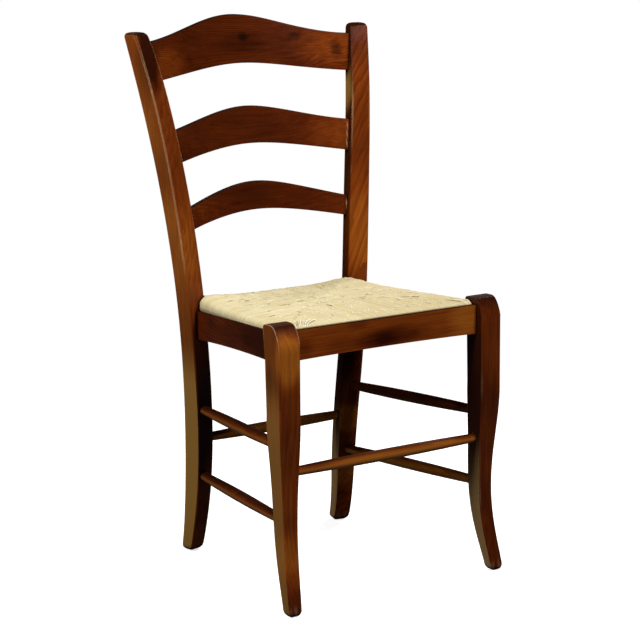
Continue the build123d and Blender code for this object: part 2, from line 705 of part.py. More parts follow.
STRIPS = seat_strips()
RIGHT_PIECES = {
    "front_leg": front_leg(),
    "rear_post": rear_post(),
    "side_seat_rail": side_seat_rail(),
    "upper_side_stretcher": UPPER_STRETCHER.solid(),
    "lower_side_stretcher": LOWER_STRETCHER.solid(),
    "front_corner_brace": FRONT_BRACE.solid(),
    "rear_corner_brace": REAR_BRACE.solid(),
}
PIECES = {
    "crest_rail": CREST.solid(),
    "middle_slat": MIDDLE.solid(),
    "lower_slat": LOWER.solid(),
    "front_seat_rail": front_seat_rail(),
    "rear_seat_rail": rear_seat_rail(),
    "front_stretcher": FRONT_STRETCHER.solid(),
    "rear_stretcher": REAR_STRETCHER.solid(),
    "seat_frame_front": STRIPS[0],
    "seat_frame_rear": STRIPS[1],
    "seat_frame_right": STRIPS[2],
    "seat_frame_left": STRIPS[3],
    "rush_weave": rush(),
}
for name, piece in RIGHT_PIECES.items():
    PIECES[name + "_right"] = piece
    PIECES[name + "_left"] = mirrored(piece)

# The origin lies on the floor under the middle of the chair's length
FRONT_MOST = PIECES["front_leg_right"].bounding_box().min.Y
REAR_MOST = PIECES["crest_rail"].bounding_box().max.Y
CENTRED = Pos(0, -(FRONT_MOST + REAR_MOST) / 2, 0)

os.makedirs("parts", exist_ok=True)
for name, piece in PIECES.items():
    export_step(CENTRED * largest(piece), f"parts/{name}.step")
export_step(CENTRED * Compound([largest(wedge) for wedge in packing()]), "parts/rush_packing.step")
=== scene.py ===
import math
import random

import bmesh
import bpy
from mathutils import Matrix, Vector, noise


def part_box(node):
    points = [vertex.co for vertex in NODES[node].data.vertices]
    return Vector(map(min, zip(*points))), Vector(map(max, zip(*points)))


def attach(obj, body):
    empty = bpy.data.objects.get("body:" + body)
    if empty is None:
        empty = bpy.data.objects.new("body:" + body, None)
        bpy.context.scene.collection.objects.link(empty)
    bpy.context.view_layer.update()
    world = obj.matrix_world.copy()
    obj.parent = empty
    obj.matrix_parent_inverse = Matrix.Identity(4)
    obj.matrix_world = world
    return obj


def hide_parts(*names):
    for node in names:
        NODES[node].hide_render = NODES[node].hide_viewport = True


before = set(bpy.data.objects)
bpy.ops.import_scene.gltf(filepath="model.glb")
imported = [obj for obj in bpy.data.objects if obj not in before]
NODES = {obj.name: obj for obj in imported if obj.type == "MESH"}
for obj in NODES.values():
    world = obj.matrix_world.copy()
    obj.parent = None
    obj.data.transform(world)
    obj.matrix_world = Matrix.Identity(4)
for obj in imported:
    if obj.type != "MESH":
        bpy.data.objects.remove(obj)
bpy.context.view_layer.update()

# The chair faces -Y, stands on Z = 0 and is the same on both sides of X = 0. All sizes are in metres.

FRAME_BODY = "chair_frame"
SEAT_BODY = "drop_in_seat"
CHANCE = random.Random(11)

# Camera, as the photograph was taken
VIEW_AZIMUTH = math.radians(-34.007)
VIEW_ELEVATION = math.radians(11.333)
VIEW_ROLL = math.radians(-0.483)
VIEW_DISTANCE = 3.4937
VIEW_SIDE = 0.00677
VIEW_HEIGHT = 0.42961
VIEW_BACK = -0.0314
LENS = 114.27
SENSOR = 36.0
LENS_SHIFT = -0.00997
VIEW_RANGE = (0.05, 100)

# Stained wood: linear colours from the darkest to the palest, then a near-black for painted shade and darker tops, a
# pale colour for rubbed-off stain and painted highlights, and painted light for the sides and under the round
# stretchers
STAIN = (
    (0.00, (0.034, 0.0056, 0.0013, 1)),
    (0.33, (0.102, 0.0168, 0.0025, 1)),
    (0.66, (0.225, 0.0450, 0.0054, 1)),
    (1.00, (0.400, 0.1180, 0.0130, 1)),
)
PAINTED_SHADE_DARK = (0.010, 0.0028, 0.0012, 1)
WORN_AND_LIT_COLOUR = (0.680, 0.4800, 0.2700, 1)
PAINTED_SIDE_LIGHT = (0.300, 0.1500, 0.0330, 1)
PAINTED_UNDERSIDE_LIGHT = (0.500, 0.1800, 0.0260, 1)
KNOT_COLOUR = (0.012, 0.0035, 0.0014, 1)

# Eased edges and rounded feet
EDGE_SOFTNESS = 0.0012
EDGE_SEGMENTS = 3
EDGE_ANGLE = math.radians(30)
JOIN_DISTANCE = 1e-5
FOOT_ROUNDING = 0.011
FOOT_HALF_WIDTH = 0.0145
FOOT_STEPS = 6
FOOT_LEVELS = (0.001, 0.021)
SOLE_MARGIN = 0.0002

# Plain wood of the seat's own frame and the braces under it
PLAIN = (
    (0.20, (0.300, 0.1500, 0.0600, 1)),
    (0.50, (0.420, 0.2400, 0.1050, 1)),
    (0.80, (0.560, 0.3500, 0.1700, 1)),
)

# Screws of the braces
SCREW_RADIUS = 0.004
SCREW_HEIGHT = 0.0022
SCREW_DOME = 0.45 * math.pi
SCREW_RINGS = 8
SCREW_STEPS = 24
SCREW_PLACES = (0.3, 0.7)
RECESS_DEPTH = 0.0010
RECESS_HALF_WIDTH = 0.0005
RECESS_RADIUS = 0.6 * SCREW_RADIUS

# Rush: linear colours
RUSH_DARK = (0.520, 0.4200, 0.2150, 1)
RUSH_MIDDLE = (0.660, 0.5550, 0.3120, 1)
RUSH_LIGHT = (0.750, 0.6700, 0.4450, 1)
RUSH_BLEACHED = (0.830, 0.7800, 0.6000, 1)
RUSH_SPECK = (0.160, 0.0950, 0.0350, 1)
RUSH_GAP_SHADE = (0.060, 0.0320, 0.0120, 1)

# Woven seat, seen from above and in section
SEAT_SLOPE = math.tan(math.radians(1.2))
PAD_HALF_FRONT = 0.2043
PAD_TAPER = 0.121
PAD_EDGE_HEIGHT = 0.0227
PAD_CROWN = 0.005
LEG_CLEARANCE = 0.002
REAR_NOTCH_SIDE = 0.1500
REAR_NOTCH_BACK = 0.1030
STRAND_PITCH = 0.0044
STRAND_RADIUS = 0.0031
STRAND_SIDES = 8
STRAND_STEP = 0.008
STRAND_GIRTHS = (0.92, 1.08)
STRAND_LIFT = 0.0004
STRAND_DRIFT = 0.0009
DRIFT_RATE = 22
CORNER_HUMP = 0.006
CORNER_SPREAD = 0.05
CROWN_START = 0.012
MITRE_DIP = 0.0006
TWIST_LENGTH = 0.016

# Bends of a strand: how far in from the mitre or the edge, and how far up from its run below or above.
# At the upper mitre the second value is a share of the dip.
LOWER_MITRE = ((0.001, 0.004), (-0.003, 0.001))
LOWER_EDGE = ((0.005, 0.0), (0.0015, 0.0012), (0.0, 0.0045))
UPPER_EDGE = ((0.0, -0.0070), (0.0006, -0.0040), (0.0025, -0.0015), (0.0060, -0.0002))
UPPER_MITRE = ((-0.004, 0.2), (-0.001, 1.0), (0.001, 2.2))
RUN_START = 0.012
LOWER_RUN_END = 0.014
LOWER_RUN_STEP = 4 * STRAND_STEP
UPPER_RUN_END = 0.008

# Stray fibres on the seat, with the lifts of their start, middle and end
STRAY_FIBRES = 320
STRAY_END_MARGIN = 0.02
STRAY_SIDE_MARGIN = 0.03
STRAY_TURN = 0.45
STRAY_BEND = 0.35
STRAY_HALF_LENGTHS = (0.004, 0.011)
STRAY_RADII = (0.0003, 0.0006)
STRAY_LIFTS = (-0.0006, 0.0004, -0.0001)

# Frayed strands beside the front legs: their number at each side, and the way in and the lift of their bends
FRAYED_STRANDS = {-1: 9, 1: 4}
FRAYED_FIRST = 0.0015
FRAYED_PITCH = 0.0034
FRAYED_FAN = 0.0045
FRAYED_TURNS = (-0.002, 0.004)
FRAYED_LENGTHS = (0.024, 0.046)
FRAYED_RADII = (0.0007, 0.0012)
FRAYED_START = (0.0025, -0.0060)
FRAYED_MIDDLE = (0.0100, 0.0050)
FRAYED_END_LIFT = -0.0002
LOOSE_STEPS = 8
LOOSE_SIDES = 6


# Node trees

def new_material(name):
    """A material with its node tree and its surface shader."""
    material = bpy.data.materials.new(name)
    material.use_nodes = True
    tree = material.node_tree
    tree.nodes.clear()
    output = tree.nodes.new("ShaderNodeOutputMaterial")
    surface = tree.nodes.new("ShaderNodeBsdfPrincipled")
    tree.links.new(surface.outputs["BSDF"], output.inputs["Surface"])
    return material, tree, surface


def add(tree, kind, inputs=None, **settings):
    """A new node, with its settings and with values or links on its inputs."""
    node = tree.nodes.new(kind)
    for key, value in settings.items():
        setattr(node, key, value)
    for key, value in (inputs or {}).items():
        if isinstance(value, bpy.types.NodeSocket):
            tree.links.new(value, node.inputs[key])
        else:
            node.inputs[key].default_value = value
    return node


def ramp(tree, factor, stops):
    """Colours along a factor, as (place, colour) pairs."""
    node = add(tree, "ShaderNodeValToRGB", {"Fac": factor})
    elements = node.color_ramp.elements
    while len(elements) < len(stops):
        elements.new(0.5)
    for element, (place, colour) in zip(elements, stops):
        element.position = place
        element.color = colour
    return node.outputs["Color"]


def mix(tree, factor, first, second, blend="MIX"):
    """One colour blended into another by a factor."""
    node = add(tree, "ShaderNodeMix", data_type="RGBA", blend_type=blend)
    for socket, value in ((node.inputs[0], factor), (node.inputs[6], first), (node.inputs[7], second)):
        if isinstance(value, bpy.types.NodeSocket):
            tree.links.new(value, socket)
        else:
            socket.default_value = value
    return node.outputs[2]


def maths(tree, operation, first, second=0.0, clamp=False):
    node = add(tree, "ShaderNodeMath", {0: first, 1: second}, operation=operation)
    node.use_clamp = clamp
    return node.outputs[0]


def product(tree, first, second):
    return maths(tree, "MULTIPLY", first, second)


def plus_share(tree, value, share, weight):
    """A value with a weighted share of another added to it."""
    return maths(tree, "ADD", value, product(tree, share, weight))


def speckle(tree, place, scale, detail, output="Fac"):
    """Noise over a place, at a scale and with a number of finer layers."""
    return add(tree, "ShaderNodeTexNoise", {"Vector": place, "Scale": scale, "Detail": detail}).outputs[output]


def smooth_step(tree, value, low, high):
    """0 at one value and 1 at another, with a smooth step between them."""
    inputs = {"Value": value, "From Min": low, "From Max": high}
    return add(tree, "ShaderNodeMapRange", inputs, interpolation_type="SMOOTHSTEP").outputs["Result"]


def facing_along(tree, axis):
    """How far a surface faces along an axis of the chair."""
    normal = add(tree, "ShaderNodeTexCoord").outputs["Normal"]
    return add(tree, "ShaderNodeSeparateXYZ", {0: normal}).outputs[axis]


# Wood

# Along the grain, patterns and clouds of stain are drawn out. The heart of the tree lies beside the piece.
ALONG = {"X": (0.06, 1, 1), "Y": (1, 0.06, 1), "Z": (1, 1, 0.06)}
CLOUDS = {"X": (0.40, 1, 1), "Y": (1, 0.40, 1), "Z": (1, 1, 0.35)}
PITH = {"X": (0, 0.05, -0.09), "Y": (0.06, 0, -0.09), "Z": (0.07, 0.06, 0)}
PITH_SPREAD = 0.03

# Scales of the patterns in waves to the metre, and how strongly each one shows
RING_SPACING = 0.0055
RING_WAVE = 0.314
RING_TONES = ((0.0, (0.55, 0.48, 0.44, 1)), (0.75, (1.06, 1.05, 1.03, 1)))
RINGS_SHOW = (0.25, 0.60)
WANDER_SCALE = 22.0
WANDER_SHARE = 0.022
PORE_SCALE = 900.0
PORE_TONES = ((0.38, (0.60, 0.55, 0.52, 1)), (0.52, (1, 1, 1, 1)))
PORE_SHARE = 0.30
STREAK_SCALE = 160.0
STREAK_SHARE = 0.45
CLOUD_SCALE = 13.0
CLOUD_SHARE = 0.55
SPOT_RAGGEDNESS = 0.7
SPOT_EDGE = (1.35, 0.55)

# Heights over the floor where the stain and the painted light and shade change, and how far a face looks sideways or up
BELOW_SEAT = (0.40, 0.30)
NEAR_FLOOR = (0.25, 0.10)
FOOT_TIP = (0.024, 0.004)
TIP_STREAKS = (0.40, 0.62)
TIP_SHARE = 0.16
SIDEWAYS = (0.70, 0.90)
INSIDE_SHADE_SHARE = 0.70
CLOUDED_SHARE = 0.25
NEAR_FLOOR_LIGHT = 0.25
UPWARD_DARK = (0.30, 0.75)
UPWARD_DUSTY = (0.85, 0.97)
UPWARD_SHARE = 0.80
TURNED_BELOW = (0.55, 0.05)
TURNED_ABOVE = (0.50, 0.90)
TURNED_SHARE = 0.70

# Painted shade in narrow gaps, rubbed edges with painted highlights, and the varnish
GAP_REACH = 0.010
GAP_OPENNESS = (0.85, 0.45)
GAP_SHARE = 0.8
WORN_HIGHLIGHT_RADIUS = 0.003
WORN_HIGHLIGHT_TURN = (0.985, 0.86)
WORN_HIGHLIGHT_CLOUDS = (0.30, 0.55)
WORN_HIGHLIGHT_FADE = 0.05
ROUGHNESS_SPREAD = (-0.06, 0.08)
RING_RELIEF = 0.5
STAIN_COAT = 0.02
PLAIN_COAT = 0.0
COAT_ROUGHNESS = 0.12


class Look:
    """How a piece took the stain, and its painted light: its tone at the lower and upper end, its spots, knots, grain
    and wear, its marks of painted light and its share of painted light on paler sides and undersides.
    """

    def __init__(self, low, high=None, spots=(), knots=(), painted_light=(), slant=0.0, grain=0.7, rings=RING_SPACING,
                 fade=0.5, edge_wear_and_highlight=0.0, wear_and_highlight_heights=(0.0, 1.0), roughness=0.20, sheen=0.11):
        self.low = low
        self.high = low if high is None else high
        self.spots = spots
        self.knots = knots
        self.painted_light = painted_light
        self.slant = math.radians(slant)
        self.grain = grain
        self.rings = rings
        self.fade = fade
        self.edge_wear_and_highlight = edge_wear_and_highlight
        self.wear_and_highlight_heights = wear_and_highlight_heights
        self.roughness = roughness
        self.sheen = sheen


# A spot has a centre, a reach along X, Y and Z and a change of tone. A knot or a mark of painted light has a depth
# instead.
# Edges are worn, and painted as highlights, between two heights.
LOOKS = {
    "crest_rail": Look(
        0.24,
        spots=(
            ((0.180, 0.195, 0.880), (0.090, 0.08, 0.060), 0.34),
            ((0.010, 0.235, 0.890), (0.060, 0.05, 0.030), -0.09),
            ((-0.168, 0.195, 0.862), (0.060, 0.08, 0.050), 0.30)),
        knots=(
            ((0.0138, 0.2354, 0.8999), (0.015, 0.03, 0.012), 0.95),
            ((0.111, 0.221, 0.9002), (0.017, 0.03, 0.011), 0.60),
            ((0.1832, 0.1893, 0.8740), (0.014, 0.03, 0.024), 0.65)),
        grain=0.95, rings=0.0040, sheen=0.03),
    "middle_slat": Look(
        0.23,
        spots=(((0.160, 0.14, 0.730), (0.110, 0.08, 0.060), 0.30),),
        # Pale lines at the slat's right end: painted highlights
        painted_light=(
            ((0.1796, 0.147, 0.7390), (0.0016, 0.02, 0.011), 0.35),
            ((0.1779, 0.147, 0.7230), (0.0016, 0.02, 0.011), 0.35),
            ((0.1762, 0.147, 0.7070), (0.0016, 0.02, 0.011), 0.35)),
        grain=0.45),
    "lower_slat": Look(
        0.20,
        spots=(
            ((0.150, 0.12, 0.600), (0.090, 0.08, 0.050), 0.12),
            ((-0.125, 0.15, 0.615), (0.070, 0.08, 0.050), 0.12)),
        # A pale line at the slat's right end: a painted highlight
        painted_light=(((0.1650, 0.1325, 0.5970), (0.0018, 0.02, 0.014), 0.60),),
        grain=0.45),
    "rear_post_left": Look(
        0.50,
        spots=(
            ((-0.185, 0.11, 0.560), (0.05, 0.08, 0.140), 0.26),
            ((-0.218, 0.160, 0.890), (0.022, 0.04, 0.120), -0.75),
            ((-0.252, 0.18, 0.860), (0.026, 0.09, 0.120), 0.20),
            ((-0.233, 0.15, 0.720), (0.022, 0.09, 0.150), 0.42),
            # A dark patch on the front face under the seat: painted shade of the seat
            ((-0.160, 0.110, 0.240), (0.035, 0.022, 0.200), -0.50),
            ((-0.215, 0.14, 0.600), (0.022, 0.09, 0.090), 0.26)),
        grain=0.5, fade=0.9, edge_wear_and_highlight=0.8, wear_and_highlight_heights=(0.50, 1.0)),
    "rear_post_right": Look(
        0.50,
        spots=(
            ((0.180, 0.11, 0.550), (0.05, 0.06, 0.150), 0.32),
            ((0.217, 0.168, 0.900), (0.04, 0.06, 0.110), -0.10),
            # Painted shade under the seat, then two paler patches below it: painted light
            ((0.152, 0.106, 0.330), (0.04, 0.03, 0.075), -0.55),
            ((0.150, 0.112, 0.205), (0.04, 0.03, 0.036), 0.75),
            ((0.147, 0.126, 0.095), (0.04, 0.03, 0.036), 0.45)),
        # A pale patch on the inner face: painted light
        painted_light=(((0.1950, 0.175, 0.8000), (0.030, 0.040, 0.052), 0.90),),
        slant=-24.0, grain=0.9, rings=0.0080, edge_wear_and_highlight=0.9, wear_and_highlight_heights=(0.64, 0.82), sheen=0.01),
    "front_leg_left": Look(
        0.46, 0.52,
        spots=(
            ((-0.207, -0.2411, 0.4240), (0.04, 0.03, 0.066), 0.62),
            ((-0.207, -0.2369, 0.3000), (0.04, 0.05, 0.060), -0.10),
            ((-0.205, -0.2300, 0.2000), (0.04, 0.05, 0.060), 0.18),
            ((-0.203, -0.2300, 0.0950), (0.04, 0.05, 0.060), 0.36),
            ((-0.207, -0.2480, 0.0150), (0.04, 0.05, 0.040), -0.16),
            ((-0.236, -0.2150, 0.4100), (0.02, 0.07, 0.100), -0.42),
            ((-0.230, -0.2050, 0.3800), (0.016, 0.05, 0.050), -0.30)),
        edge_wear_and_highlight=1.0, wear_and_highlight_heights=(0.42, 1.0)),
    "front_leg_right": Look(
        0.24, 0.36,
        spots=(
            ((0.200, -0.2250, 0.2100), (0.04, 0.06, 0.100), 0.16),
            ((0.207, -0.2350, 0.4600), (0.04, 0.05, 0.040), -0.16),
            ((0.203, -0.2400, 0.3700), (0.04, 0.03, 0.060), 0.10)),
        grain=0.5, edge_wear_and_highlight=0.75, wear_and_highlight_heights=(0.10, 0.36)),
    "front_seat_rail": Look(
        0.68,
        spots=(
            ((-0.026, -0.2244, 0.4250), (0.058, 0.03, 0.029), -0.42),
            ((0.012, -0.2244, 0.4290), (0.062, 0.03, 0.027), -0.36),
            ((-0.090, -0.2244, 0.4280), (0.060, 0.03, 0.020), -0.16),
            ((-0.165, -0.2244, 0.4350), (0.025, 0.03, 0.020), -0.18),
            ((0.068, -0.2244, 0.4350), (0.030, 0.03, 0.016), -0.16),
            ((-0.060, -0.2244, 0.4600), (0.030, 0.03, 0.010), -0.20),
            ((0.165, -0.2244, 0.4450), (0.055, 0.03, 0.040), 0.24),
            # A narrow dark band along the top edge: a painted shadow under the seat's front edge
            ((0.000, -0.2244, 0.4660), (0.400, 0.03, 0.0024), -0.55)),
        grain=0.5, sheen=0.03),
    "side_seat_rail_left": Look(
        0.18,
        spots=(
            ((-0.206, -0.15, 0.440), (0.05, 0.09, 0.050), -0.16),
            ((-0.172, 0.09, 0.422), (0.05, 0.05, 0.040), 0.16),
            ((-0.182, 0.01, 0.445), (0.05, 0.04, 0.016), 0.16))),
    "side_seat_rail_right": Look(0.22),
    "front_stretcher": Look(
        0.78,
        spots=(
            ((-0.150, -0.215, 0.230), (0.040, 0.03, 0.03), -0.16),
            ((0.165, -0.215, 0.230), (0.040, 0.03, 0.03), -0.30)),
        fade=0.55),
    # A pale tone and a large share of painted light: painted light where the seat shades this stretcher
    "rear_stretcher": Look(0.95, spots=(((-0.125, 0.128, 0.210), (0.045, 0.05, 0.03), -0.75),), fade=0.9),
    "upper_side_stretcher_left": Look(0.28, fade=0.32),
    "upper_side_stretcher_right": Look(0.58, fade=0.1),
    "lower_side_stretcher_left": Look(0.24, fade=0.32),
    "lower_side_stretcher_right": Look(0.86, spots=(((0.152, 0.100, 0.150), (0.03, 0.045, 0.03), -0.60),), fade=0.6),
}
USUAL_LOOK = Look(0.42)
PLAIN_LOOK = Look(0.5, roughness=0.6)


def around(tree, place, centre, reach, unevenness):
    """1 at a point of the piece, and 0 beyond its reach along each axis, with a ragged edge."""
    away = add(tree, "ShaderNodeVectorMath", {0: place, 1: centre}, operation="SUBTRACT").outputs[0]
    share = add(tree, "ShaderNodeVectorMath", {0: away, 1: reach}, operation="DIVIDE").outputs[0]
    distance = add(tree, "ShaderNodeVectorMath", {0: share}, operation="LENGTH").outputs["Value"]
    return smooth_step(tree, plus_share(tree, distance, unevenness, SPOT_RAGGEDNESS), *SPOT_EDGE)


def grain_patterns(tree, place, axis, look, seed):
    """Growth rings about the heart of the tree, and pores, streaks and clouds of stain."""
    chance = random.Random(seed)
    offset = [value + chance.uniform(-PITH_SPREAD, PITH_SPREAD) for value in PITH[axis]]
    turned = (0, look.slant, 0)
    shifted = add(tree, "ShaderNodeMapping", {"Vector": place, "Location": offset, "Rotation": turned}).outputs[0]
    slow = add(tree, "ShaderNodeMapping", {"Vector": shifted, "Scale": ALONG[axis]}).outputs[0]
    broad = add(tree, "ShaderNodeMapping", {"Vector": shifted, "Scale": CLOUDS[axis]}).outputs[0]
    wander = speckle(tree, slow, WANDER_SCALE, 3.0, "Color")
    bent = mix(tree, WANDER_SHARE, slow, wander, "LINEAR_LIGHT")
    rings = add(
        tree, "ShaderNodeTexWave",
        {"Vector": bent, "Scale": RING_WAVE / look.rings, "Distortion": 2.2, "Detail": 3.0, "Detail Scale": 0.6},
        wave_type="RINGS", rings_direction=axis, wave_profile="SAW").outputs["Fac"]
    pores = speckle(tree, slow, PORE_SCALE, 4.0)
    streaks = speckle(tree, slow, STREAK_SCALE, 5.0)
    clouds = speckle(tree, broad, CLOUD_SCALE, 2.0)
    return rings, pores, streaks, clouds


def stain_tone(tree, place, height, heights, streaks, clouds, look):
    """How pale a piece is, from its lower to its upper end, with clouds, streaks and spots."""
    low, high = heights
    inputs = {"Value": height, "From Min": low, "From Max": high, "To Min": look.low, "To Max": look.high}
    tone = add(tree, "ShaderNodeMapRange", inputs).outputs["Result"]
    tone = plus_share(tree, tone, maths(tree, "SUBTRACT", clouds, 0.5), CLOUD_SHARE)
    tone = plus_share(tree, tone, maths(tree, "SUBTRACT", streaks, 0.5), STREAK_SHARE)
    for centre, reach, change in look.spots:
        tone = plus_share(tree, tone, around(tree, place, centre, reach, clouds), change)
    return tone


def upper_faces(tree):
    """Faces that look up: painted darker, in part as painted shade under the seat's edge, and dulled by dust."""
    up = facing_along(tree, "Z")
    dark = product(tree, smooth_step(tree, up, *UPWARD_DARK), UPWARD_SHARE)
    dull = product(tree, smooth_step(tree, up, *UPWARD_DUSTY), UPWARD_SHARE)
    return dark, dull


def turned_sides(tree, colour, fade):
    """Round stretchers are painted paler underneath, as painted light, and darker on top."""
    up = facing_along(tree, "Z")
    colour = mix(tree, product(tree, smooth_step(tree, up, *TURNED_BELOW), fade), colour, PAINTED_UNDERSIDE_LIGHT)
    return mix(tree, product(tree, smooth_step(tree, up, *TURNED_ABOVE), TURNED_SHARE), colour, PAINTED_SHADE_DARK)


def painted_side_light_and_shade(tree, colour, outward, height, clouds, fade):
    """Painted light and shade on legs and posts: painted light on the outer side below the seat and inside near the
    floor, and painted shade inside above.
    """
    out = product(tree, facing_along(tree, "X"), outward)
    inside = smooth_step(tree, out, -SIDEWAYS[0], -SIDEWAYS[1])
    outside = smooth_step(tree, out, *SIDEWAYS)
    colour = mix(tree, product(tree, inside, INSIDE_SHADE_SHARE), colour, PAINTED_SHADE_DARK)
    below_seat = product(tree, smooth_step(tree, height, *BELOW_SEAT), fade)
    pale = product(tree, outside, plus_share(tree, below_seat, clouds, CLOUDED_SHARE))
    near_floor = product(tree, inside, smooth_step(tree, height, *NEAR_FLOOR))
    colour = mix(tree, maths(tree, "ADD", pale, near_floor, clamp=True), colour, PAINTED_SIDE_LIGHT)
    return mix(tree, product(tree, near_floor, NEAR_FLOOR_LIGHT), colour, WORN_AND_LIT_COLOUR)


def foot_tips(tree, height, streaks):
    """Where the feet are scuffed at the floor."""
    tip = product(tree, smooth_step(tree, height, *FOOT_TIP), smooth_step(tree, streaks, *TIP_STREAKS))
    return product(tree, tip, TIP_SHARE)


def painted_gap_shade(tree):
    """Painted shade in the narrow gaps between pieces and under the seat's edge."""
    openness = add(tree, "ShaderNodeAmbientOcclusion", {"Distance": GAP_REACH}, samples=6).outputs["AO"]
    return product(tree, smooth_step(tree, openness, *GAP_OPENNESS), GAP_SHARE)


def painted_light_place(tree, place, streaks, mark, sideways_only):
    """Where a place is painted paler as painted light, on all faces or on those that look sideways."""
    centre, reach, depth = mark
    painted_light = product(tree, around(tree, place, centre, reach, streaks), depth)
    if not sideways_only:
        return painted_light
    sideways = maths(tree, "ABSOLUTE", facing_along(tree, "X"))
    return product(tree, painted_light, smooth_step(tree, sideways, *SIDEWAYS))


def worn_and_highlighted_edges(tree, height, clouds, look):
    """Where stain has been rubbed off the edges, painted paler to stand for highlights on them, between two heights."""
    rounded = add(tree, "ShaderNodeBevel", {"Radius": WORN_HIGHLIGHT_RADIUS}, samples=4).outputs[0]
    facing = add(tree, "ShaderNodeNewGeometry").outputs["Normal"]
    turn = add(tree, "ShaderNodeVectorMath", {0: rounded, 1: facing}, operation="DOT_PRODUCT").outputs["Value"]
    rubbed_and_lit = product(tree, smooth_step(tree, turn, *WORN_HIGHLIGHT_TURN), smooth_step(tree, clouds, *WORN_HIGHLIGHT_CLOUDS))
    low, high = look.wear_and_highlight_heights
    above = smooth_step(tree, height, low, low + WORN_HIGHLIGHT_FADE)
    touched = product(tree, above, smooth_step(tree, height, high, high - WORN_HIGHLIGHT_FADE))
    return product(tree, product(tree, rubbed_and_lit, touched), look.edge_wear_and_highlight)


def wood(name, axis, seed, stops, look, heights, coat):
    """Wood with growth rings, fine pores, uneven stain, worn edges with painted highlights, painted light and shade,
    and a thin varnish.
    """
    material, tree, surface = new_material(name)
    upright = axis == "Z"
    place = add(tree, "ShaderNodeTexCoord").outputs["Object"]
    height = add(tree, "ShaderNodeSeparateXYZ", {0: place}).outputs["Z"]
    rings, pores, streaks, clouds = grain_patterns(tree, place, axis, look, seed)
    colour = ramp(tree, stain_tone(tree, place, height, heights, streaks, clouds, look), stops)
    drawn = product(tree, smooth_step(tree, clouds, *RINGS_SHOW), look.grain)
    colour = mix(tree, drawn, colour, ramp(tree, rings, RING_TONES), "MULTIPLY")
    colour = mix(tree, PORE_SHARE, colour, ramp(tree, pores, PORE_TONES), "MULTIPLY")
    for centre, reach, depth in look.knots:
        knot = product(tree, around(tree, place, centre, reach, streaks), depth)
        colour = mix(tree, knot, colour, KNOT_COLOUR)
    if stops is STAIN and upright:
        # Painted light and shade on the sides of legs and posts, then scuffed feet
        colour = painted_side_light_and_shade(tree, colour, -1.0 if "left" in name else 1.0, height, clouds, look.fade)
        colour = mix(tree, foot_tips(tree, height, streaks), colour, WORN_AND_LIT_COLOUR)
    dull = 0.0
    if "stretcher" in name:
        # Painted light under the round stretchers, and darker tops
        colour = turned_sides(tree, colour, look.fade)
    elif stops is STAIN:
        # Faces that look up are painted darker, in part as painted shade under the seat's edge
        dark, dull = upper_faces(tree)
        colour = mix(tree, dark, colour, PAINTED_SHADE_DARK)
    # Painted shade in narrow gaps
    colour = mix(tree, painted_gap_shade(tree), colour, PAINTED_SHADE_DARK)
    # Marks of painted light
    for mark in look.painted_light:
        painted_light = painted_light_place(tree, place, streaks, mark, sideways_only=upright)
        colour = mix(tree, painted_light, colour, PAINTED_SIDE_LIGHT if upright else WORN_AND_LIT_COLOUR)
    # Rubbed edges, painted pale as highlights
    colour = mix(tree, worn_and_highlighted_edges(tree, height, clouds, look), colour, WORN_AND_LIT_COLOUR)
    tree.links.new(colour, surface.inputs["Base Color"])

    low, high = [look.roughness + change for change in ROUGHNESS_SPREAD]
    rough = add(tree, "ShaderNodeMapRange", {"Value": streaks, "To Min": low, "To Max": high}).outputs["Result"]
    tree.links.new(maths(tree, "ADD", rough, dull, clamp=True), surface.inputs["Roughness"])
    relief = maths(tree, "ADD", product(tree, rings, RING_RELIEF), pores)
    bump = add(tree, "ShaderNodeBump", {"Height": relief, "Strength": 0.06, "Distance": 0.0005})
    tree.links.new(bump.outputs["Normal"], surface.inputs["Normal"])
    surface.inputs["Specular IOR Level"].default_value = look.sheen
    surface.inputs["Coat Weight"].default_value = coat
    surface.inputs["Coat Roughness"].default_value = COAT_ROUGHNESS
    return material


def joined_faces():
    """Joins the faces of a node and shades them as one surface."""
    group = bpy.data.node_groups.new("joined_faces", "GeometryNodeTree")
    group.interface.new_socket("Geometry", in_out="INPUT", socket_type="NodeSocketGeometry")
    group.interface.new_socket("Geometry", in_out="OUTPUT", socket_type="NodeSocketGeometry")
    start = group.nodes.new("NodeGroupInput")
    end = group.nodes.new("NodeGroupOutput")
    plain = add(group, "GeometryNodeRemoveAttribute", {"Geometry": start.outputs[0], "Name": "custom_normal"})
    joined = add(group, "GeometryNodeMergeByDistance", {"Geometry": plain.outputs[0], "Distance": JOIN_DISTANCE})
    smooth = add(group, "GeometryNodeSetShadeSmooth", {"Geometry": joined.outputs[0], "Shade Smooth": True})
    group.links.new(smooth.outputs[0], end.inputs[0])
    return group


